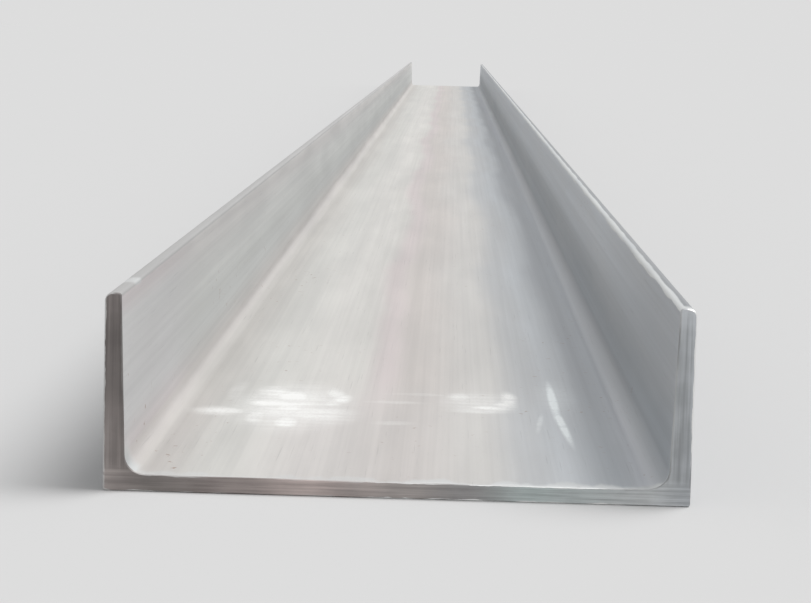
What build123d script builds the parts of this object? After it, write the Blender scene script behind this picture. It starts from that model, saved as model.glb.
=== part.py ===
from build123d import *

import os

# Hot-rolled steel U-channel, one straight length of plain stock, in millimetres.
# It lies on its web with both flanges up. The length runs along Y, the depth across X.
# The origin is at mid-length and mid-depth, on the plane of the web's back.

# Stock
stock_length = 6000.0  # standard bar length, sawn square at both ends

# Rolled section
depth = 200.0  # over the backs of the two flanges
flange_width = 68.0  # from the web's back to the toes
web_thickness = 6.0
flange_thickness = 6.8  # read at the gauge height, because the inner face slopes
flange_slope = 0.03  # how much the flange thins for each millimetre nearer the toe
root_radius = 6.5  # hollow fillet where web and flange meet, inside
toe_radius = 3.0  # each toe falls away to the back of its flange in this curve
edge_radius = 1.0  # heels and inner toe edges, which leave the rolls nearly sharp

# The flange's nominal thickness is its thickness half way up from the web's back
gauge_height = flange_width / 2
toe_thickness = flange_thickness - flange_slope * (flange_width - gauge_height)
root_thickness = flange_thickness + flange_slope * (gauge_height - web_thickness)

# Half widths: the flange backs, then the sloped inner face at the toe and at the web
back_x = depth / 2
toe_x = back_x - toe_thickness
root_x = back_x - root_thickness


def how_far_out(corner):
    """Distance of a section corner from the section's line of symmetry."""
    return abs(corner.X)


with BuildPart() as channel:
    with BuildSketch(Plane.XZ) as section:
        # Sharp outline, starting at the left heel and going round by the open side
        with BuildLine():
            Polyline(
                (-back_x, 0),
                (back_x, 0),
                (back_x, flange_width),
                (toe_x, flange_width),
                (root_x, web_thickness),
                (-root_x, web_thickness),
                (-toe_x, flange_width),
                (-back_x, flange_width),
                close=True,
            )
        make_face()

        # The two roots, then the back edge of each toe
        fillet(section.vertices().group_by(Axis.Y)[1], root_radius)
        toe_corners = section.vertices().group_by(Axis.Y)[-1].sort_by(how_far_out)
        fillet(toe_corners[-2:], toe_radius)

        # The crisp corners: the toes' inner edges and the two heels
        toe_corners = section.vertices().group_by(Axis.Y)[-1].sort_by(how_far_out)
        fillet(toe_corners[:2], edge_radius)
        fillet(section.vertices().group_by(Axis.Y)[0], edge_radius)
    extrude(amount=stock_length / 2, both=True)

channel.part.label = "channel"

os.makedirs("parts", exist_ok=True)
export_step(channel.part, "parts/channel.step")

section_area = channel.part.volume / stock_length
print(f"section {depth:.0f} x {flange_width:.0f} x {web_thickness:g} x {flange_thickness:g} mm")
print(f"section area {section_area:.0f} mm2, length {stock_length / 1000:g} m")
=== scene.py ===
# %% [markdown]
# # A length of steel U-channel
# This lesson dresses one bar of hot-rolled steel channel. The bar lies on its web with both
# flanges up, and the camera looks into its open end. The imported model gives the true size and
# place of the bar. Blender adds what the rolls, the saw and the yard leave on the metal.

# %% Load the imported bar
import math

import bmesh
import bpy
from mathutils import Matrix, Vector, noise


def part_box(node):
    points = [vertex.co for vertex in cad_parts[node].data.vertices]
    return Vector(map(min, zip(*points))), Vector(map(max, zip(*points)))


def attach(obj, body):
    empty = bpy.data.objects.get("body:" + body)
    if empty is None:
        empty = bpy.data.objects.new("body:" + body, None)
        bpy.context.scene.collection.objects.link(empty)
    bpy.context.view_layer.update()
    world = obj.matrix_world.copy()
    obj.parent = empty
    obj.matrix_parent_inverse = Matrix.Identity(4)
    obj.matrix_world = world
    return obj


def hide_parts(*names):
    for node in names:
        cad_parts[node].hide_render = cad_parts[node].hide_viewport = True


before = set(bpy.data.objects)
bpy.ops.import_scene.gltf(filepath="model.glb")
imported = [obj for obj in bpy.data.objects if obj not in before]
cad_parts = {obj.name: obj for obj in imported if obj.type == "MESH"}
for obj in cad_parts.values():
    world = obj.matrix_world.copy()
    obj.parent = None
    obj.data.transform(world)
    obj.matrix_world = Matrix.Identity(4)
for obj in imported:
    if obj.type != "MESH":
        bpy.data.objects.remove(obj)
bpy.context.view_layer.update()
low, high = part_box("channel")
print("packed bar, metres:", [round(v, 4) for v in (*low, *high)])

# %% [markdown]
# ## The rolled section
# A channel is squeezed to shape between grooved rolls, so its section is the same from end to
# end. The inner faces of the flanges slope a little, which lets the bar leave the groove. The
# roots are hollow, and each toe is crisp on the inside and falls away to its back in a curve.
# The section is drawn once, as a flat face, and pulled out along the bar. That is the way the
# real one is made, and it is cleaner than cutting a trough out of a block.

# %% Sizes of the section, in metres
MM = 0.001
NEAR, FAR = low.y, high.y
BACK = high.x
FLANGE_WIDTH = high.z
WEB = 6 * MM
FLANGE = 6.8 * MM
SLOPE = 0.03
ROOT_RADIUS = 6.5 * MM
TOE_RADIUS = 3.0 * MM
EDGE_RADIUS = 1.0 * MM
HAIR = 0.01 * MM  # two lengths that differ by less are the same

gauge_height = FLANGE_WIDTH / 2
toe_x = BACK - FLANGE + SLOPE * (FLANGE_WIDTH - gauge_height)
root_x = BACK - FLANGE - SLOPE * (gauge_height - WEB)
print(f"flange {(BACK - toe_x) / MM:.2f} mm thick at its toe, {(BACK - root_x) / MM:.2f} at its root")


# %% Draw the section and round its corners
def near(a, b):
    return abs(a - b) < HAIR


def round_corners(bm, half_width, height, radius, segments):
    """Rounds the left and right corners of the flat outline at this place."""
    corners = [v for v in bm.verts if near(abs(v.co.x), half_width) and near(v.co.z, height)]
    bmesh.ops.bevel(
        bm,
        geom=corners,
        offset=radius,
        offset_type="OFFSET",
        segments=segments,
        profile=0.5,
        affect="VERTICES",
        material=-1,
    )
    print(len(corners), f"corners rounded to {radius / MM:g} mm")


bar = bmesh.new()
outline = [
    (-BACK, 0),
    (BACK, 0),
    (BACK, FLANGE_WIDTH),
    (toe_x, FLANGE_WIDTH),
    (root_x, WEB),
    (-root_x, WEB),
    (-toe_x, FLANGE_WIDTH),
    (-BACK, FLANGE_WIDTH),
]
bar.faces.new([bar.verts.new((x, NEAR, z)) for x, z in outline])
round_corners(bar, root_x, WEB, ROOT_RADIUS, 8)
round_corners(bar, BACK, FLANGE_WIDTH, TOE_RADIUS, 6)
round_corners(bar, toe_x, FLANGE_WIDTH, EDGE_RADIUS, 3)
round_corners(bar, BACK, 0, EDGE_RADIUS, 3)

# %% [markdown]
# ## Straight cuts through the section
# Flat faces this long need points of their own, so that they can wander a little later on.
# Dividing each edge by itself would leave one big face that bends round the whole U, and such
# a face breaks up badly into triangles. Straight cuts through the section leave small
# four-sided cells instead, with their points facing each other across the metal.

# %% Cut the section into cells
CELL = 7 * MM
CLEAR_OF_CURVES = 1 * MM


def cut_through(bm, place, direction):
    """Cuts everything by one flat plane, and keeps both sides."""
    everything = bm.verts[:] + bm.edges[:] + bm.faces[:]
    bmesh.ops.bisect_plane(bm, geom=everything, plane_co=place, plane_no=direction)


web_reach = root_x - ROOT_RADIUS - CLEAR_OF_CURVES
web_cuts = round(web_reach / CELL)
for i in range(-web_cuts, web_cuts + 1):
    cut_through(bar, (i * web_reach / web_cuts, 0, 0), (1, 0, 0))
flange_start = WEB + ROOT_RADIUS + CLEAR_OF_CURVES
flange_stop = FLANGE_WIDTH - TOE_RADIUS - CLEAR_OF_CURVES
flange_cuts = round((flange_stop - flange_start) / CELL)
for i in range(flange_cuts + 1):
    z = flange_start + i * (flange_stop - flange_start) / flange_cuts
    cut_through(bar, (0, 0, z), (0, 0, 1))
print("cells in the section:", len(bar.faces), "points:", len(bar.verts))

# %% [markdown]
# ## Pulled out to six metres
# The section is extruded once along the bar. The long edges are then divided: finely near the
# two cut ends, where the camera comes close and the yard has left small marks, and more widely
# between them. One even spacing would either miss the marks or cost many more faces.

# %% Extrude the section and divide the length
END_ZONE = 600 * MM
END_STEP = 5 * MM
MIDDLE_STEP = 16 * MM


def divide_between(bm, start, stop, step):
    """Divides the edges that run along the bar from start to stop."""
    middle = (start + stop) / 2
    runs = [
        edge
        for edge in bm.edges
        if min(v.co.y for v in edge.verts) < middle < max(v.co.y for v in edge.verts)
    ]
    bmesh.ops.subdivide_edges(bm, edges=runs, cuts=round((stop - start) / step) - 1)


pulled = bmesh.ops.extrude_face_region(bar, geom=bar.faces[:])
far_points = [item for item in pulled["geom"] if isinstance(item, bmesh.types.BMVert)]
bmesh.ops.translate(bar, verts=far_points, vec=(0, FAR - NEAR, 0))
bmesh.ops.recalc_face_normals(bar, faces=bar.faces)
cut_through(bar, (0, NEAR + END_ZONE, 0), (0, 1, 0))
cut_through(bar, (0, FAR - END_ZONE, 0), (0, 1, 0))
divide_between(bar, NEAR, NEAR + END_ZONE, END_STEP)
divide_between(bar, NEAR + END_ZONE, FAR - END_ZONE, MIDDLE_STEP)
divide_between(bar, FAR - END_ZONE, FAR, END_STEP)
print("faces after dividing:", len(bar.faces))

# %% [markdown]
# ## The cut ends
# The bar is cut to length straight across. Handling soon wears the outline of the cut to a
# narrow bevel, and the cut face itself is a little dished. Two insets of the end make both. A
# bevel of the corner edge would pinch where the outline turns into the roots. Each point also
# notes how near it is to the outline, from 1 on it to 0 inside, and the finish of the cut
# reads that note to lay the rubbed metal and its painted highlight along the edge.

# %% Wear the outline of both ends and dish the cut
BEVEL_WIDTH = 0.4 * MM
BEVEL_DEPTH = 0.4 * MM
DISH_WIDTH = 0.4 * MM
DISH_DEPTH = 0.12 * MM
FACES_THE_END = 0.9  # least share of a face's normal along the bar
CUT = 1  # number of the second finish, because the skin has the first

rim = bar.verts.layers.float.new("rim")
for way in (-1, 1):
    end = [f for f in bar.faces if f.normal.y * way > FACES_THE_END]
    bevel = bmesh.ops.inset_region(bar, faces=end, thickness=BEVEL_WIDTH, use_even_offset=True)
    bevelled = {v for f in end for v in f.verts}
    outer = {v for f in bevel["faces"] for v in f.verts} - bevelled
    bmesh.ops.translate(bar, verts=list(outer), vec=(0, -way * BEVEL_DEPTH, 0))
    dish = bmesh.ops.inset_region(
        bar, faces=end, thickness=DISH_WIDTH, depth=-DISH_DEPTH, use_even_offset=True
    )
    middle = {v for f in end for v in f.verts}
    ring = {v for f in dish["faces"] for v in f.verts} - middle
    for vert in ring:
        vert[rim] = 0.5
    for vert in outer:
        vert[rim] = 1.0
    for face in end + dish["faces"] + bevel["faces"]:
        face.material_index = CUT
print("faces with the ends:", len(bar.faces))

# %% [markdown]
# ## The skin laid out flat
# A viewer or a game shows a finish as a flat picture wrapped round the piece, so every part of
# the skin needs a place on one. This bar is nine times as long as it is far round, and an even
# layout would leave most of the picture empty. So the skin is opened along the middle of the
# web's back, and the way round the section takes the picture's width. Along the bar, the two
# marked ends get more of the height than the plain middle. The cuts lie in a strip beside it.

# %% How far round the section each point lies
FOLD = 0.5  # in radians, less than the turn from the skin to the bevel


def column(vert):
    """The same for all points that lie in one line along the bar."""
    return round(vert.co.x / MM, 3), round(vert.co.z / MM, 3)


def way_round(bm):
    """Distance of each column from the middle of the web's back, and the whole way."""
    outline_edges = {
        e
        for e in bm.edges
        if all(near(v.co.y, NEAR + BEVEL_DEPTH) for v in e.verts) and e.calc_face_angle(0) > FOLD
    }
    points = {v for e in outline_edges for v in e.verts}
    first = here = min(points, key=lambda v: abs(v.co.x) + v.co.z)
    both_ways = [e for e in here.link_edges if e in outline_edges]
    edge = max(both_ways, key=lambda e: e.other_vert(here).co.x)
    travelled = 0.0
    reached = {column(here): 0.0}
    while True:
        travelled += edge.calc_length()
        here = edge.other_vert(here)
        if here is first:
            return reached, travelled
        reached[column(here)] = travelled
        edge = next(e for e in here.link_edges if e in outline_edges and e is not edge)


distance, perimeter = way_round(bar)
print(f"{len(distance)} columns, {perimeter / MM:.0f} mm round the section")

# %% Give the skin and the cuts their places on the picture
SKIN_WIDTH = (0.004, 0.886)
ROWS_ALONG = ((NEAR, 0.004), (NEAR + END_ZONE, 0.36), (FAR - END_ZONE, 0.74), (FAR, 0.996))
CUT_STRIP = (0.900, 0.996)
CUT_PLACES = {-1: (0.004, 0.60), 1: (0.63, 0.996)}


def between(span, share):
    return span[0] + share * (span[1] - span[0])


def height_on_picture(y):
    """Where a place along the bar lies, by the three stretches of the bar."""
    for (start, first), (stop, last) in zip(ROWS_ALONG, ROWS_ALONG[1:]):
        if y <= stop + MM:
            return first + (last - first) * (y - start) / (stop - start)


picture = bar.loops.layers.uv.new("OFBake")
for face in bar.faces:
    if face.material_index == CUT:
        place = CUT_PLACES[math.copysign(1, face.calc_center_median().y)]
        for loop in face.loops:
            across, up = (loop.vert.co.x + BACK) / (2 * BACK), loop.vert.co.z / FLANGE_WIDTH
            loop[picture].uv = (between(CUT_STRIP, up), between(place, across))
        continue
    ways = [distance[column(loop.vert)] for loop in face.loops]
    for loop, way in zip(face.loops, ways):
        if max(ways) - way > perimeter / 2:
            way += perimeter
        loop[picture].uv = (between(SKIN_WIDTH, way / perimeter), height_on_picture(loop.vert.co.y))

# %% [markdown]
# ## Small unevenness
# No rolled bar is as true as its drawing. The toes rise and fall by a few tenths of a
# millimetre and carry a few nicks, and the flats wander. Cutting leaves its outline ragged, and
# drags the web's last few millimetres down in places. These are real shapes, so the points
# themselves move. They only ever move into the metal, which keeps the bar inside its packed
# size.

# %% Move the points
TOE_WAVE = 0.3 * MM
NICK_DEPTH = 0.8 * MM
FLAT_WAVE = 0.25 * MM
RAGGED = 0.4 * MM
DRAG = 0.9 * MM
DRAG_REACH = 12 * MM
DRAG_FADE = 12 * MM
# How far apart the marks lie, in metres
NICK_SPACING = 0.04
BACK_SPACING = 0.25
WEB_SPACING = 0.12
DRAG_SPACING = 0.035
# A long wave and a shorter one, in metres, and how much of the shorter one is added
TOE_WAVES = (0.35, 0.03, 0.4)
RAGGED_WAVES = (0.03, 0.01, 0.6)
# Levels of the pattern at which a nick or a drag begins
NICK_FROM = 0.78
DRAG_FROM = 0.3
# Keeps the two toes far apart in the pattern, so that their marks differ
TOES_APART = 5


def wander(place, size, seed):
    """A smooth value from 0 to 1 that changes over about the given size."""
    return 0.5 + 0.5 * noise.noise(Vector(place) / size + Vector((seed, 0, 0)))


def two_waves(place, long, short, share, seed):
    """A long wave with a share of a shorter one laid over it."""
    return wander(place, long, seed) + share * wander(place, short, seed + 1)


def inward(co):
    """How far a point of the bar moves, always into the metal."""
    move = Vector()
    from_end = FAR - abs(co.y)
    if co.z > FLANGE_WIDTH - TOE_RADIUS:
        share = (co.z - FLANGE_WIDTH + TOE_RADIUS) / TOE_RADIUS
        along = (math.copysign(TOES_APART, co.x), co.y, 0)
        wave = two_waves(along, *TOE_WAVES, seed=1)
        nick = max(0, wander(along, NICK_SPACING, 7) - NICK_FROM) / (1 - NICK_FROM)
        move.z -= share * (TOE_WAVE * wave + NICK_DEPTH * nick)
    if abs(co.x) > BACK - EDGE_RADIUS / 2:
        move.x -= math.copysign(FLAT_WAVE * wander((0, co.y, co.z), BACK_SPACING, 3), co.x)
    if near(co.z, WEB):
        move.z -= FLAT_WAVE * wander((co.x, co.y, 0), WEB_SPACING, 4)
    if from_end < DRAG_REACH and co.z < WEB + HAIR:
        dragged = max(0, wander((co.x, 0, 0), DRAG_SPACING, 8) - DRAG_FROM)
        dragged *= (1 - from_end / DRAG_REACH) ** 2
        flat = max(0, min(1, (root_x - ROOT_RADIUS - abs(co.x)) / DRAG_FADE))
        move.z -= DRAG * dragged * flat * co.z / WEB
    if from_end < BEVEL_DEPTH + HAIR:
        ragged = two_waves((co.x, 0, co.z), *RAGGED_WAVES, seed=5)
        move.y -= math.copysign(RAGGED * ragged, co.y)
    return move


moves = {v: inward(v.co) for v in bar.verts}
for vert, move in moves.items():
    vert.co += move
print(f"largest move {max(m.length for m in moves.values()) / MM:.2f} mm")

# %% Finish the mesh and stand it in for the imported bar
HARD_EDGE = math.radians(35)

for face in bar.faces:
    face.smooth = True
bar.normal_update()
for edge in bar.edges:
    edge.smooth = edge.calc_face_angle(0) < HARD_EDGE
mesh = bpy.data.meshes.new("channel_bar")
bar.to_mesh(mesh)
bar.free()
channel_bar = bpy.data.objects.new("channel_bar", mesh)
bpy.context.scene.collection.objects.link(channel_bar)
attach(channel_bar, "root")
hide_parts("channel")
print("triangles:", sum(len(p.vertices) - 2 for p in mesh.polygons))

# %% [markdown]
# ## Helpers for the finishes
# Each finish is a small tree of shader nodes on Object coordinates, which are metres along the
# bar. A pattern that the rolls made is long and thin, so its coordinates are squeezed along Y.
# Soft ramps turn a place on the bar, or the level of a pattern, into a share from 0 to 1, and
# shares are multiplied to say where a finish lies.

# %% Node helpers
SEED_STEPS = (7.3, 3.1, 5.7)
MOST_NOISE = (0.3, 0.7)


def srgb(red, green, blue):
    """A colour as seen, from 0 to 255 in each part, turned into the linear one nodes use."""
    parts = [c / 255 for c in (red, green, blue)]
    linear = [((p + 0.055) / 1.055) ** 2.4 for p in parts]
    return (*linear, 1.0)


def new_finish(name):
    material = bpy.data.materials.new(name)
    material.use_nodes = True
    tree = material.node_tree
    return material, tree, tree.nodes["Principled BSDF"]


def feed(tree, socket, value):
    """Links an output to a socket, or sets the socket to a plain value."""
    if isinstance(value, bpy.types.NodeSocket):
        tree.links.new(value, socket)
    else:
        socket.default_value = value


def coordinate(tree, axis):
    """One of the object's own coordinates, in metres."""
    coords = tree.nodes.new("ShaderNodeTexCoord")
    split = tree.nodes.new("ShaderNodeSeparateXYZ")
    tree.links.new(coords.outputs["Object"], split.inputs["Vector"])
    return split.outputs[axis]


def cloud(tree, sizes, detail=3.0, roughness=0.5, seed=0):
    """Noise whose blotches measure the three given sizes, in metres, along X, Y and Z."""
    coords = tree.nodes.new("ShaderNodeTexCoord")
    mapping = tree.nodes.new("ShaderNodeMapping")
    mapping.inputs["Scale"].default_value = [1 / size for size in sizes]
    mapping.inputs["Location"].default_value = [seed * step for step in SEED_STEPS]
    texture = tree.nodes.new("ShaderNodeTexNoise")
    texture.inputs["Scale"].default_value = 1.0
    texture.inputs["Detail"].default_value = detail
    texture.inputs["Roughness"].default_value = roughness
    tree.links.new(coords.outputs["Object"], mapping.inputs["Vector"])
    tree.links.new(mapping.outputs["Vector"], texture.inputs["Vector"])
    return texture.outputs["Fac"]


def calculate(tree, operation, *values):
    """One sum, such as MULTIPLY or MAXIMUM, of numbers or outputs."""
    node = tree.nodes.new("ShaderNodeMath")
    node.operation = operation
    for socket, value in zip(node.inputs, values):
        feed(tree, socket, value)
    return node.outputs["Value"]


def product(tree, first, *others):
    for other in others:
        first = calculate(tree, "MULTIPLY", first, other)
    return first


def rest_of(tree, share):
    """What a share leaves of the whole."""
    return calculate(tree, "SUBTRACT", 1.0, share)


def ramp(tree, value, start, stop, first=0.0, last=1.0):
    """Runs softly from first to last while the value goes from start to stop."""
    node = tree.nodes.new("ShaderNodeMapRange")
    node.interpolation_type = "SMOOTHSTEP"
    node.inputs["From Min"].default_value = start
    node.inputs["From Max"].default_value = stop
    node.inputs["To Min"].default_value = first
    node.inputs["To Max"].default_value = last
    tree.links.new(value, node.inputs["Value"])
    return node.outputs["Result"]


def spread(tree, pattern, first=0.0, last=1.0):
    """Runs from first to last over the levels that nearly all of a cloud has."""
    return ramp(tree, pattern, *MOST_NOISE, first, last)


def within(tree, value, places):
    """Rises from 0 to 1 between the first two of four places, and falls between the last two."""
    start, full, fading, stop = places
    return product(tree, ramp(tree, value, start, full), ramp(tree, value, stop, fading))


def blend(tree, share, first, second, way="MIX"):
    """Mixes two colours. A way of MULTIPLY darkens the first by the second."""
    node = tree.nodes.new("ShaderNodeMix")
    node.data_type = "RGBA"
    node.blend_type = way
    for socket, value in zip([s for s in node.inputs if s.enabled], (share, first, second)):
        feed(tree, socket, value)
    return next(s for s in node.outputs if s.enabled)


def blend_number(tree, share, first, second):
    """Goes from the first number to the second as the share goes from 0 to 1."""
    node = tree.nodes.new("ShaderNodeMix")
    for name, value in (("Factor", share), ("A", first), ("B", second)):
        feed(tree, node.inputs[name], value)
    return node.outputs["Result"]


def shaded(tree, colour, level):
    """A colour times a level, where 1 leaves it as it is."""
    grey = tree.nodes.new("ShaderNodeCombineColor")
    for name in ("Red", "Green", "Blue"):
        tree.links.new(level, grey.inputs[name])
    return blend(tree, 1.0, colour, grey.outputs["Color"], "MULTIPLY")


def colour_along(tree, value, stops):
    """A colour that changes along a value, from one (value, colour) stop to the next."""
    start, stop = stops[0][0], stops[-1][0]
    node = tree.nodes.new("ShaderNodeValToRGB")
    elements = node.color_ramp.elements
    node.color_ramp.interpolation = "EASE"
    while len(elements) < len(stops):
        elements.new(0.5)
    for element, (at, colour) in zip(elements, stops):
        element.position = (at - start) / (stop - start)
        element.color = srgb(*colour)
    span = tree.nodes.new("ShaderNodeMapRange")
    span.inputs["From Min"].default_value = start
    span.inputs["From Max"].default_value = stop
    tree.links.new(value, span.inputs["Value"])
    tree.links.new(span.outputs["Result"], node.inputs["Fac"])
    return node.outputs["Color"]


def relief(tree, shader, height, depth):
    """Raises the surface by a pattern, without moving any point."""
    bump = tree.nodes.new("ShaderNodeBump")
    bump.inputs["Strength"].default_value = 1.0
    bump.inputs["Distance"].default_value = depth
    tree.links.new(height, bump.inputs["Height"])
    tree.links.new(bump.outputs["Normal"], shader.inputs["Normal"])


# %% [markdown]
# ## Chalk
# The yard has marked the inside of the web with chalk near the end, and hands and weather have
# rubbed it to smears that spell nothing. Each smear is a soft ellipse in the web's own
# coordinates, broken up by a grain. The broad smears waver, and a fine stroke stays straight,
# because wavering would break it up. A thin piece laid on the web would also do, but it could
# flicker against the steel below it.

# %% Chalk smears
# Each is x, distance from the end, half size across and half size along, all in mm, then its
# turn in degrees and how much chalk is left, where more than 1 makes up for the grain
CHALK_SMEARS = [
    (-46, 163, 25, 64, 0, 0.80),
    (-37, 142, 19, 30, 0, 0.85),
    (-44, 168, 12, 30, 0, 1.0),
    (-55, 199, 9, 18, 6, 1.0),
    (-47, 186, 9, 20, 0, 1.35),
    (-54, 167, 12, 15, 0, 1.25),
    (-47, 158, 8, 15, 0, 1.4),
    (-46, 123, 6, 16, 0, 1.4),
    (-58, 133, 5, 20, 0, 0.9),
    (-30, 200, 5, 18, 6, 0.8),
    (-26.5, 184, 5, 16, 0, 1.05),
    (-30, 171, 5, 14, -6, 0.9),
    (-72, 145, 13, 14, 0, 0.75),
    (-71, 198, 4, 30, 0, 0.3),
    (-4, 178, 13, 5, 0, 0.4),
    (5, 204, 14, 4, 0, 0.25),
    (-4, 126, 9, 5, 0, 0.3),
    (30, 187, 16, 32, 0, 0.5),
    (22, 199, 6, 15, 0, 0.7),
    (27, 183, 11, 9, 0, 0.5),
    (42, 196, 4, 24, 0, 1.0),
    (40, 180, 6, 13, 0, 0.95),
    (35, 172, 10, 11, 0, 1.15),
    (30, 163, 14, 9, 0, 0.7),
    (61, 194, 2.2, 58, 0, 1.6),
    (62, 138, 1.8, 56, 2, 1.5),
    (62, 206, 9, 50, 0, 0.2),
    (53.5, 136, 1.3, 26, -4, 0.4),
]
FINE_STROKE = 2.5  # half size across, in mm, of the widest stroke that doesn't waver
WAVER = Vector((0.003, 0.012, 0))
WAVER_FINENESS = 34.0
SMEAR_DEPTH = 2 * MM
SMEAR_EDGE = (1.25, 0.25)  # in half sizes from the smear's middle, from no chalk to all of it
GRAIN_SIZE = (0.0011, 0.003, 0.002)
WIPE_SIZE = (0.04, 0.007, 0.02)


def chalk_mask(tree):
    """How much chalk lies at each place."""
    coords = tree.nodes.new("ShaderNodeTexCoord")
    waver = tree.nodes.new("ShaderNodeTexNoise")
    waver.inputs["Scale"].default_value = WAVER_FINENESS
    tree.links.new(coords.outputs["Object"], waver.inputs["Vector"])
    bend = tree.nodes.new("ShaderNodeVectorMath")
    bend.operation = "MULTIPLY_ADD"
    bend.inputs[1].default_value = WAVER
    tree.links.new(waver.outputs["Color"], bend.inputs[0])
    tree.links.new(coords.outputs["Object"], bend.inputs[2])

    total = 0.0
    for x, y, across, along, turn, left in CHALK_SMEARS:
        middle = Vector((x * MM, NEAR + y * MM, WEB))
        place = coords.outputs["Object"]
        if across > FINE_STROKE:
            # The noise is a half on average, so the bent places lie half of WAVER further on
            middle += WAVER / 2
            place = bend.outputs["Vector"]
        smear = tree.nodes.new("ShaderNodeMapping")
        smear.vector_type = "TEXTURE"
        smear.inputs["Location"].default_value = middle
        smear.inputs["Rotation"].default_value = (0, 0, math.radians(turn))
        smear.inputs["Scale"].default_value = (across * MM, along * MM, SMEAR_DEPTH)
        tree.links.new(place, smear.inputs["Vector"])
        reach = tree.nodes.new("ShaderNodeVectorMath")
        reach.operation = "LENGTH"
        tree.links.new(smear.outputs["Vector"], reach.inputs[0])
        laid = ramp(tree, reach.outputs["Value"], *SMEAR_EDGE, 0, left)
        total = calculate(tree, "MAXIMUM", total, laid)
    grain = cloud(tree, GRAIN_SIZE, detail=2.0, seed=9)
    wiped = cloud(tree, WIPE_SIZE, seed=10)
    kept = product(
        tree,
        ramp(tree, grain, 0.35, 0.6, 0.75, 1.0),
        ramp(tree, wiped, 0.36, 0.56, 0.6, 1.0),
    )
    return calculate(tree, "MINIMUM", 1.0, product(tree, total, kept))


print(len(CHALK_SMEARS), "chalk smears")

# %% [markdown]
# ## Mill scale
# The skin of a hot-rolled bar is a thin grey oxide. The rolls draw it out in long bands and
# fine streaks, warmer in one band and cooler in the next. Yard dust and dried rain lighten the
# web a little. The two flanges are lit and shaded copies of one scale: the left one is painted
# lighter as the lit side, and the right one darker and bluer as painted shade. The right part
# of the web carries painted shade and a bluish painted reflection of the sky, and the left root
# carries a painted highlight. The backs stay darker and bluer. The tones change a little a
# hand's length in from the cut, so the web and the left flange have two lists each.

# %% Tones of the mill scale
# Across the web, as x in metres and the colour there. In both lists the right part is darker
# and bluer, partly the scale's own bands and partly painted shade with a bluish painted
# reflection of the sky, and the lighter stop at the left root, at -0.0925, is a painted highlight.
WEB_TONES = [
    (-0.0925, (217, 212, 209)),
    (-0.087, (204, 200, 196)),
    (-0.062, (210, 209, 205)),
    (-0.031, (220, 216, 213)),
    (0.004, (206, 201, 198)),
    (0.032, (209, 207, 204)),
    (0.050, (198, 200, 202)),
    (0.062, (203, 207, 211)),
    (0.076, (183, 188, 193)),
    (0.086, (215, 218, 223)),
    (0.092, (172, 177, 182)),
]
WEB_TONES_INSIDE = [
    (-0.0925, (207, 203, 200)),
    (-0.087, (199, 196, 192)),
    (-0.062, (212, 211, 207)),
    (-0.036, (219, 217, 213)),
    (-0.024, (213, 211, 207)),
    (-0.012, (210, 201, 200)),
    (0.000, (205, 199, 195)),
    (0.032, (205, 203, 200)),
    (0.050, (191, 193, 195)),
    (0.062, (196, 200, 204)),
    (0.076, (176, 180, 185)),
    (0.086, (206, 210, 215)),
    (0.092, (166, 170, 175)),
]
# Up the flanges, as z in metres and the colour there. The left flange is painted lighter as the
# lit side, and the right flange darker and bluer as painted shade.
LIT_LEFT_FLANGE_TONES = [
    (0.012, (214, 208, 209)),
    (0.026, (208, 208, 209)),
    (0.056, (218, 218, 218)),
    (0.066, (219, 213, 213)),
    (0.0672, (187, 186, 185)),
]
LIT_LEFT_FLANGE_TONES_INSIDE = [
    (0.012, (208, 206, 204)),
    (0.026, (210, 212, 211)),
    (0.036, (217, 219, 217)),
    (0.048, (218, 219, 217)),
    (0.064, (227, 225, 223)),
    (0.066, (226, 224, 222)),
    (0.0672, (189, 188, 187)),
]
SHADED_RIGHT_FLANGE_TONES = [
    (0.012, (175, 181, 186)),
    (0.024, (164, 170, 176)),
    (0.064, (182, 187, 193)),
]
# From the darker to the lighter streaks of the backs
BACK_TONES = [(0.0, (140, 144, 148)), (1.0, (156, 158, 161))]

# %% Where one part of the bar gives way to the next
# Along X, or out from the middle of the web to either side, in metres
LEFT_TO_RIGHT = (-0.02, 0.02)
MIDDLE_TO_LEFT = (0.0, -0.01)
ROOT_TO_WEB = (0.08, 0.07)
FLANGE_TO_WEB = (0.095, 0.092)
INSIDE_TO_BACK = (0.0988, 0.0997)
# Where the right toe's back curve is painted dark as shade, across
TOE_BACK_X = (0.0958, 0.0965)
# Along Z
EDGE_TO_UNDERSIDE = (0.004, 0.002)
WEB_TO_FLANGE = (0.010, 0.0145)
# Where the right toe's back curve is painted dark as shade, up
TOE_BACK_Z = (0.0635, 0.0650)
# Along Y
HAND_IN = (NEAR + 0.11, NEAR + 0.28)


def from_middle(tree):
    """Distance from the middle of the web, to either side."""
    return calculate(tree, "ABSOLUTE", coordinate(tree, "X"))


def from_nearer_end(tree):
    """Distance along the bar from the nearer of its two ends."""
    return calculate(tree, "SUBTRACT", FAR, calculate(tree, "ABSOLUTE", coordinate(tree, "Y")))


def right_toe_back_shade(tree):
    """The curve in which the right toe falls away to the back of its flange, painted dark as shade.
    """
    shift = spread(tree, cloud(tree, (0.9, 0.04, 0.9), detail=4.0, seed=13), -0.0003, 0.0003)
    out = calculate(tree, "ADD", coordinate(tree, "X"), shift)
    up = coordinate(tree, "Z")
    return product(tree, ramp(tree, out, *TOE_BACK_X), ramp(tree, up, *TOE_BACK_Z))


# %% Colour of the mill scale, part by part
BAND_DRIFT = 0.008
# Where the right flange's painted shade changes: along the bar, towards its toe and towards its
# foot
LIGHTER_ALONG = (NEAR, NEAR + 0.5)
UPPER_PART = (0.028, 0.054)
LOWER_PART = (0.018, 0.032)


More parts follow.
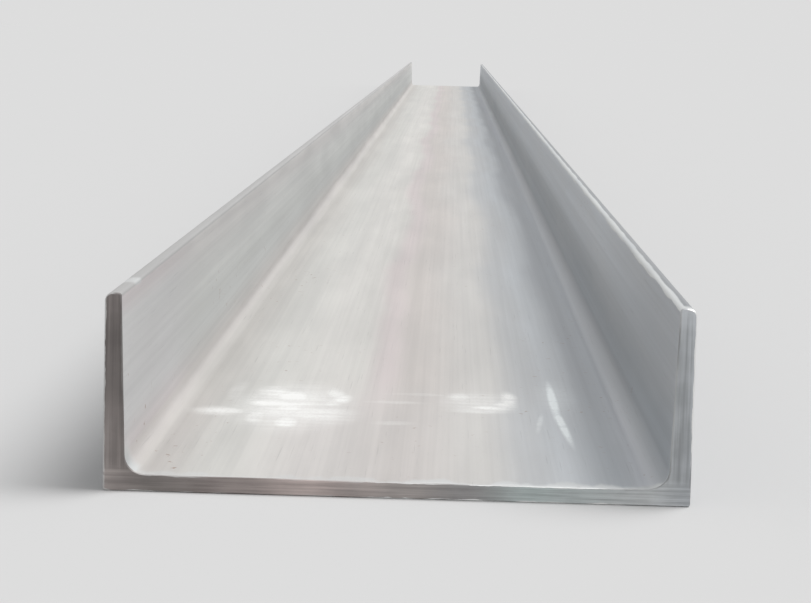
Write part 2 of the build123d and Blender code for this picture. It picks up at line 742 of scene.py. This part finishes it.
def web_colour(tree, further_in):
    """Bands along the web, which drift sideways but stay put in the roots, over tones that hold
    painted shade and a painted reflection on the right and a painted highlight at the left root.
    """
    pattern = cloud(tree, (9.0, 0.5, 9.0), seed=3)
    drift = ramp(tree, pattern, 0.2, 0.8, -BAND_DRIFT, BAND_DRIFT)
    drift = product(tree, drift, ramp(tree, from_middle(tree), *ROOT_TO_WEB))
    across = calculate(tree, "ADD", coordinate(tree, "X"), drift)
    by_the_end = colour_along(tree, across, WEB_TONES)
    inside = colour_along(tree, across, WEB_TONES_INSIDE)
    return blend(tree, further_in, by_the_end, inside)


def lit_left_flange_colour(tree, bands, further_in):
    """The flange painted lighter as the lit side, with only a little of the bands' tone."""
    up = coordinate(tree, "Z")
    by_the_end = colour_along(tree, up, LIT_LEFT_FLANGE_TONES)
    inside = colour_along(tree, up, LIT_LEFT_FLANGE_TONES_INSIDE)
    return shaded(tree, blend(tree, further_in, by_the_end, inside), spread(tree, bands, 0.95, 1.02))


def shaded_right_flange_colour(tree, bands, further_in):
    """The flange painted darker and bluer as the shaded side, its painted shade lifting along the bar
    high up and deepening at its foot.
    """
    up = coordinate(tree, "Z")
    along = ramp(tree, coordinate(tree, "Y"), *LIGHTER_ALONG, -0.05, 0.30)
    high_up = product(tree, along, ramp(tree, up, *UPPER_PART))
    low_down = product(tree, further_in, ramp(tree, up, *LOWER_PART, -0.045, 0.0))
    extra = calculate(tree, "ADD", high_up, low_down)
    level = calculate(tree, "ADD", spread(tree, bands, 0.92, 1.0), extra)
    return shaded(tree, colour_along(tree, up, SHADED_RIGHT_FLANGE_TONES), level)


def scale_colour(tree, bands):
    """The oxide's colour on the web's inside, on the flanges' insides and on the backs, with painted
    light and shade on the flanges and the web, and painted shade on the right toe's back curve.
    """
    x, z = coordinate(tree, "X"), coordinate(tree, "Z")
    further_in = ramp(tree, coordinate(tree, "Y"), *HAND_IN)
    left = lit_left_flange_colour(tree, bands, further_in)
    right = shaded_right_flange_colour(tree, bands, further_in)
    flange = blend(tree, ramp(tree, x, *LEFT_TO_RIGHT), left, right)
    inside = blend(tree, ramp(tree, z, *WEB_TO_FLANGE), web_colour(tree, further_in), flange)
    worn = spread(tree, cloud(tree, (0.006, 0.7, 0.006), detail=4.0, seed=12))
    back = colour_along(tree, worn, BACK_TONES)
    outside = ramp(tree, from_middle(tree), *INSIDE_TO_BACK)
    # The right toe's back curve takes the darker back tones as painted shade
    outside = calculate(tree, "MAXIMUM", outside, right_toe_back_shade(tree))
    under = ramp(tree, z, *EDGE_TO_UNDERSIDE)
    return blend(tree, calculate(tree, "MAXIMUM", outside, under), inside, back)


# %% [markdown]
# ## Rubbed bright
# Handling rubs through the scale where other bars and slings touch it. The right toe is bright
# on its inner half, and the curve behind it is painted dark as shade but for its very end. The
# left toe is only bright at one knock. The web is bright in its last few millimetres, more on the
# right than on the left, and so is the foot of the left root; both are partly wear and partly a
# painted highlight.

# %% Rubbed toes and rims
# The toes: how high up the rubbing starts, how bright the left one is, and its knock
RUBBED_TOE = FLANGE_WIDTH - 1.8 * MM
TOE_BLUR = 0.3 * MM
LEFT_TOE_SHARE = 0.06
KNOCK = NEAR + 0.045
KNOCK_SIZE = (0.013, 0.004)
CORNER_LENGTH = (0.004, 0.012)
# The rims, partly wear and partly painted highlight: how far in they reach, how much less off
# the web, and how soft their edge is
RIM_REACH = 0.010
RIGHT_RIM_FROM = (0.03, 0.05)
RIGHT_RIM_EXTRA = 0.003
REACH_OFF_WEB = 0.15
RIM_BLUR = (-0.002, 0.004)
WEB_SKIN = (WEB - 0.001, WEB - 0.0008, 0.0065, 0.0085)
# The foot of the left root, partly wear and partly painted highlight, across, up and along
ROOT_FOOT_X = (-0.098, -0.0965, -0.089, -0.086)
ROOT_FOOT_Z = (WEB, 0.007, 0.012, 0.018)
ROOT_FOOT_Y = (0.02, 0.004)


def rubbed_toes(tree):
    """The right toe's inner half, and the left toe at one knock near the end."""
    x, y, z = (coordinate(tree, axis) for axis in "XYZ")
    shift = spread(tree, cloud(tree, (0.9, 0.05, 0.9), detail=4.0, seed=7), -0.0007, 0.0005)
    height = calculate(tree, "ADD", z, shift)
    on_toe = ramp(tree, height, RUBBED_TOE - TOE_BLUR, RUBBED_TOE + TOE_BLUR)
    uneven = ramp(tree, cloud(tree, (0.02, 0.15, 0.02), detail=4.0, seed=8), 0.35, 0.5, 0.6, 1.0)
    past_corner = ramp(tree, from_nearer_end(tree), *CORNER_LENGTH)
    # The painted shade on the right toe's back curve stops just short of the cut
    painted_toe_shade = product(tree, right_toe_back_shade(tree), past_corner)
    from_knock = calculate(tree, "ABSOLUTE", calculate(tree, "SUBTRACT", y, KNOCK))
    knocked = product(tree, ramp(tree, from_knock, *KNOCK_SIZE), ramp(tree, x, *MIDDLE_TO_LEFT))
    by_side = calculate(tree, "MAXIMUM", ramp(tree, x, *LEFT_TO_RIGHT, LEFT_TOE_SHARE, 1.0), knocked)
    return product(tree, on_toe, uneven, rest_of(tree, painted_toe_shade), by_side)


def rubbed_and_highlit_rims(tree):
    """The last millimetres of the web at both ends, and the foot of the left root there, as wear and
    painted highlight.
    """
    x, z = coordinate(tree, "X"), coordinate(tree, "Z")
    from_end = from_nearer_end(tree)
    ragged = spread(tree, cloud(tree, (0.012, 9.0, 0.012), seed=11), 0.0, RIM_REACH)
    reach = calculate(tree, "ADD", ragged, ramp(tree, x, *RIGHT_RIM_FROM, 0.0, RIGHT_RIM_EXTRA))
    on_web = product(
        tree, within(tree, z, WEB_SKIN), ramp(tree, from_middle(tree), *FLANGE_TO_WEB)
    )
    reach = product(tree, reach, blend_number(tree, on_web, REACH_OFF_WEB, 1.0))
    near_rim = ramp(tree, calculate(tree, "SUBTRACT", reach, from_end), *RIM_BLUR)
    by_side = ramp(tree, x, *LEFT_TO_RIGHT, 0.45, 0.8)
    root_wear_and_highlight = product(
        tree,
        within(tree, x, ROOT_FOOT_X),
        within(tree, z, ROOT_FOOT_Z),
        ramp(tree, from_end, *ROOT_FOOT_Y),
    )
    return calculate(tree, "MAXIMUM", product(tree, near_rim, by_side), root_wear_and_highlight)


# %% [markdown]
# ## The skin put together
# Long bands, fine streaks, a soft mottle and thin scratches vary the scale's tones. Rust
# is only beginning, as small specks in the patches that stay damp. Then come the rubbed metal,
# with its painted highlight at the rims, and the chalk, which is painted a little cooler where
# the right flange shades it.

# %% Mill scale
CHALK = srgb(253, 253, 251)
CHALK_IN_SHADE = srgb(249, 254, 255)
LIGHT_TO_SHADE = (0.046, 0.056)
RUST = srgb(134, 92, 66)
BRIGHT_STEEL = srgb(220, 222, 222)
SCALE_METALLIC = 0.3
RUBBED_METALLIC = 0.85
CHALK_ROUGHNESS = 0.9
SCALE_RELIEF = 0.02 * MM


def mill_scale():
    material, tree, shader = new_finish("mill_scale")
    bands = cloud(tree, (0.012, 3.0, 0.012), detail=2.0)
    streaks = cloud(tree, (0.0022, 0.5, 0.0022), seed=1)
    mottle = cloud(tree, (0.025, 0.22, 0.025), detail=6.0, roughness=0.6, seed=2)
    scratches = cloud(tree, (0.0007, 0.05, 0.0007), detail=1.0, seed=4)
    shade = product(
        tree,
        spread(tree, bands, 0.97, 1.03),
        spread(tree, streaks, 0.965, 1.03),
        spread(tree, mottle, 0.945, 1.045),
        ramp(tree, scratches, 0.68, 0.78, 1.0, 0.88),
    )
    colour = shaded(tree, scale_colour(tree, bands), shade)

    specks = ramp(tree, cloud(tree, (0.003, 0.005, 0.003), detail=4.0, seed=5), 0.66, 0.74)
    damp = ramp(tree, cloud(tree, (0.05, 0.2, 0.05), seed=6), 0.5, 0.72, 0.08, 0.8)
    colour = blend(tree, product(tree, specks, damp), colour, RUST)

    # Rubbed metal on the toes, and rubbed metal with painted highlight on the rims and the left root
    rubbed_and_highlit = calculate(tree, "MAXIMUM", rubbed_toes(tree), rubbed_and_highlit_rims(tree))
    colour = blend(tree, rubbed_and_highlit, colour, BRIGHT_STEEL)
    chalk = chalk_mask(tree)
    in_shade = ramp(tree, coordinate(tree, "X"), *LIGHT_TO_SHADE)
    colour = blend(tree, chalk, colour, blend(tree, in_shade, CHALK, CHALK_IN_SHADE))
    tree.links.new(colour, shader.inputs["Base Color"])

    bare = calculate(tree, "MAXIMUM", SCALE_METALLIC, product(tree, rubbed_and_highlit, RUBBED_METALLIC))
    clean = rest_of(tree, calculate(tree, "MAXIMUM", chalk, specks))
    tree.links.new(product(tree, bare, clean), shader.inputs["Metallic"])
    rough = ramp(tree, mottle, 0.25, 0.75, 0.40, 0.54)
    rough = calculate(tree, "MAXIMUM", rough, product(tree, chalk, CHALK_ROUGHNESS))
    tree.links.new(rough, shader.inputs["Roughness"])
    relief(tree, shader, calculate(tree, "ADD", streaks, scratches), SCALE_RELIEF)
    return material


# %% [markdown]
# ## The cut face
# The cut runs in fine lines, along the web and up the flanges. It has begun to rust on the left,
# most of all up the flange, and is still a cool grey on the right. Its flanges are painted
# lighter towards their backs and their toes. Along its outline the rim is bright in places,
# partly rubbed and partly painted highlight, such as round the right toe and along the left
# back edge, and stays dark in others.

# %% Cut steel
# Across the cut, as x in metres and the colour there
CUT_TONES = [
    (-0.100, (169, 160, 157)),
    (-0.084, (130, 124, 121)),
    (-0.054, (154, 144, 141)),
    (-0.028, (196, 182, 178)),
    (-0.012, (176, 166, 163)),
    (0.002, (174, 167, 164)),
    (0.024, (154, 152, 152)),
    (0.046, (190, 200, 199)),
    (0.060, (187, 194, 194)),
    (0.084, (207, 210, 211)),
    (0.100, (188, 192, 196)),
]
DARK_RIM = srgb(104, 99, 98)
DARK_RIM_SHARE = 0.3
RUBBED_AND_HIGHLIT_RIM = srgb(238, 239, 238)
LINES_SHARE = 0.6
CUT_ROUGHNESS = 0.45
CUT_RELIEF = 0.1 * MM
# Where the face of the cut changes, in metres
CUT_WEB_TO_FLANGE = (0.006, 0.010)
RUST_STARTS = (0.015, 0.038)
RUST_FADES = (0.042, 0.050)
# Where the flanges' cut faces are painted lighter, towards the back edge and towards the toe
TOWARDS_THE_BACK = (0.095, 0.0985)
TOWARDS_THE_TOE = (0.050, 0.066)
# Where its rim changes, with the painted highlights round the right toe and along the left back
# edge
RIM_LEFT_TO_RIGHT = (-0.02, 0.005)
RIGHT_TOE_X = (0.090, 0.093)
RIGHT_TOE_Z = (0.058, 0.064)
LEFT_BACK_X = (-0.0975, -0.0985)
LEFT_BACK_Z = (0.003, 0.010)
INNER_FACES_X = (0.0975, 0.096)
INNER_FACES_Z = (0.0062, 0.0075)
WEB_EDGE_Z = (0.0052, 0.0057, 0.0062, 0.0066)


def cut_lines(tree, on_flange):
    """Fine lines that follow the web and turn up the flanges."""
    along_web = cloud(tree, (0.04, 0.01, 0.0011), detail=4.0, roughness=0.6)
    up_flange = cloud(tree, (0.0013, 0.01, 0.05))
    on_web = rest_of(tree, on_flange)
    return calculate(
        tree, "ADD", product(tree, up_flange, on_flange), product(tree, along_web, on_web)
    )


def cut_colour(tree, lines, on_flange):
    """The face of the cut, without its rim."""
    x, z = coordinate(tree, "X"), coordinate(tree, "Z")
    patches = cloud(tree, (0.02, 0.01, 0.012), detail=4.0, seed=1)
    lines, patches = product(tree, lines, LINES_SHARE), product(tree, patches, 1 - LINES_SHARE)
    level = calculate(tree, "ADD", lines, patches)
    rusty = product(
        tree,
        ramp(tree, z, *RUST_STARTS, 0.0, 0.44),
        ramp(tree, z, *RUST_FADES, 1.0, 0.86),
        ramp(tree, x, *MIDDLE_TO_LEFT),
    )
    # Painted light: the flanges' cut faces grow lighter towards their back edge and their toe
    painted_light_outwards = ramp(tree, x, *TOWARDS_THE_BACK, 0.91, 1.06)
    painted_light_upwards = ramp(tree, z, *TOWARDS_THE_TOE, 0.87, 1.06)
    shade = product(
        tree,
        ramp(tree, level, 0.36, 0.64, 0.78, 1.22),
        rest_of(tree, rusty),
        blend_number(tree, on_flange, 1.0, product(tree, painted_light_outwards, painted_light_upwards)),
    )
    return shaded(tree, colour_along(tree, x, CUT_TONES), shade)


def cut_rim(tree):
    """The outline of the cut, read from the note on the points, with an uneven inner edge."""
    note = tree.nodes.new("ShaderNodeAttribute")
    note.attribute_name = "rim"
    pattern = cloud(tree, (0.006, 0.01, 0.006), seed=2)
    uneven = ramp(tree, pattern, 0.25, 0.75, -0.35, 0.35)
    return ramp(tree, calculate(tree, "ADD", note.outputs["Fac"], uneven), 0.3, 0.55)


def worn_and_highlit_rim(tree, rim):
    """Where the rim is bright, partly rubbed and partly painted highlight: least on the left and on
    the flanges' inner edges, with painted highlights round the right toe and along the left back
    edge.
    """
    x, z = coordinate(tree, "X"), coordinate(tree, "Z")
    handled_and_highlit = ramp(tree, cloud(tree, (0.03, 0.01, 0.03), seed=3), 0.40, 0.55)
    right_toe_highlight = product(tree, ramp(tree, x, *RIGHT_TOE_X), ramp(tree, z, *RIGHT_TOE_Z))
    handled_and_highlit = calculate(tree, "MAXIMUM", handled_and_highlit, right_toe_highlight)
    inner = product(
        tree,
        ramp(tree, z, *INNER_FACES_Z),
        ramp(tree, from_middle(tree), *INNER_FACES_X, 0, 0.8),
    )
    side = product(tree, ramp(tree, x, *RIM_LEFT_TO_RIGHT, 0.55, 1.0), rest_of(tree, inner))
    on_web_edge = within(tree, z, WEB_EDGE_Z)
    side = product(tree, side, blend_number(tree, on_web_edge, 1.0, 0.55))
    left_back_highlight = product(tree, ramp(tree, x, *LEFT_BACK_X, 0.0, 0.5), ramp(tree, z, *LEFT_BACK_Z))
    return product(tree, rim, calculate(tree, "MAXIMUM", product(tree, handled_and_highlit, side), left_back_highlight))


def cut_steel():
    material, tree, shader = new_finish("cut_steel")
    on_flange = ramp(tree, coordinate(tree, "Z"), *CUT_WEB_TO_FLANGE)
    lines = cut_lines(tree, on_flange)
    rim = cut_rim(tree)
    # The rim's bright metal, partly rubbed and partly painted highlight
    worn = worn_and_highlit_rim(tree, rim)
    colour = cut_colour(tree, lines, on_flange)
    colour = blend(tree, product(tree, rim, DARK_RIM_SHARE), colour, DARK_RIM)
    colour = blend(tree, worn, colour, RUBBED_AND_HIGHLIT_RIM)
    tree.links.new(colour, shader.inputs["Base Color"])
    tree.links.new(ramp(tree, worn, 0.0, 1.0, 0.3, 0.75), shader.inputs["Metallic"])
    shader.inputs["Roughness"].default_value = CUT_ROUGHNESS
    relief(tree, shader, lines, CUT_RELIEF)
    return material


# %% Put both finishes on the bar
for finish in (mill_scale(), cut_steel()):
    mesh.materials.append(finish)
print("finishes:", [m.name for m in mesh.materials])

# %% [markdown]
# ## Floor and light
# A plain pale floor, an even sky and one wide lamp. The lamp stands high on the right and a
# little behind. It leaves the inside of the right flange, and the web beside it, in soft
# shade, and that shade is what shows the eye how deep the trough is.

# %% Floor
FLOOR_SIZE = 60
FLOOR_SHADE = 0.75

floor_mesh = bpy.data.meshes.new("floor")
floor = bpy.data.objects.new("floor", floor_mesh)
bpy.context.scene.collection.objects.link(floor)
sheet = bmesh.new()
bmesh.ops.create_grid(sheet, x_segments=1, y_segments=1, size=FLOOR_SIZE)
sheet.to_mesh(floor_mesh)
sheet.free()
paint, tree, shader = new_finish("pale_floor")
shader.inputs["Base Color"].default_value = (FLOOR_SHADE, FLOOR_SHADE, FLOOR_SHADE, 1)
shader.inputs["Roughness"].default_value = 1.0
shader.inputs["Specular IOR Level"].default_value = 0.0
floor_mesh.materials.append(paint)

# %% Sky and lamp
AMBIENT = 0.45
KEY_POWER = 1.85
KEY_FROM = Vector((0.43, 0.2, 0.86)).normalized()
KEY_WIDTH = math.radians(42)
horizon = FLOOR_SHADE * (AMBIENT + KEY_POWER * KEY_FROM.z / math.pi)
print(f"the floor and the horizon both show at {horizon:.2f}")

world = bpy.data.worlds.new("studio")
world.use_nodes = True
bpy.context.scene.world = world
tree = world.node_tree
lighting = tree.nodes["Background"]
lighting.inputs["Color"].default_value = (1, 1, 1, 1)
lighting.inputs["Strength"].default_value = AMBIENT
shown = tree.nodes.new("ShaderNodeBackground")
shown.inputs["Color"].default_value = (horizon, horizon, horizon, 1)
rays = tree.nodes.new("ShaderNodeLightPath")
seen = calculate(tree, "MAXIMUM", rays.outputs["Is Camera Ray"], rays.outputs["Is Glossy Ray"])
seen = calculate(tree, "MAXIMUM", seen, rays.outputs["Is Transmission Ray"])
choose = tree.nodes.new("ShaderNodeMixShader")
tree.links.new(seen, choose.inputs["Fac"])
tree.links.new(lighting.outputs[0], choose.inputs[1])
tree.links.new(shown.outputs[0], choose.inputs[2])
tree.links.new(choose.outputs[0], tree.nodes["World Output"].inputs["Surface"])

key_lamp = bpy.data.lights.new("key", "SUN")
key_lamp.energy = KEY_POWER
key_lamp.angle = KEY_WIDTH
key = bpy.data.objects.new("key", key_lamp)
key.rotation_euler = KEY_FROM.to_track_quat("Z", "Y").to_euler()
bpy.context.scene.collection.objects.link(key)

# %% [markdown]
# ## Camera
# The four corners of the near end, and the point where the long edges meet, give the
# photograph's camera. It stands 0.83 m in front of the end and 0.16 m above the floor, and it
# stays there. It is only turned and zoomed until the bar fills the picture, which keeps the
# photograph's perspective.

# %% Camera
CAMERA_AHEAD = 0.829
CAMERA_HEIGHT = 0.1588
CAMERA_RIGHT = 0.0149
LENS = 110
SENSOR_WIDTH = 36
NEAREST_SEEN = 0.01
PITCH, YAW, ROLL = (math.radians(a) for a in (6.28, -0.92, 1.5))

camera_data = bpy.data.cameras.new("camera")
camera_data.sensor_width = SENSOR_WIDTH
camera_data.lens = LENS
camera_data.clip_start = NEAREST_SEEN
camera = bpy.data.objects.new("camera", camera_data)
camera.location = (CAMERA_RIGHT, NEAR - CAMERA_AHEAD, CAMERA_HEIGHT)
turn = Matrix.Rotation(-YAW, 3, "Z") @ Matrix.Rotation(math.pi / 2 - PITCH, 3, "X")
camera.rotation_euler = (turn @ Matrix.Rotation(ROLL, 3, "Z")).to_euler()
bpy.context.scene.collection.objects.link(camera)
bpy.context.scene.camera = camera
bpy.context.scene.view_settings.view_transform = "Standard"
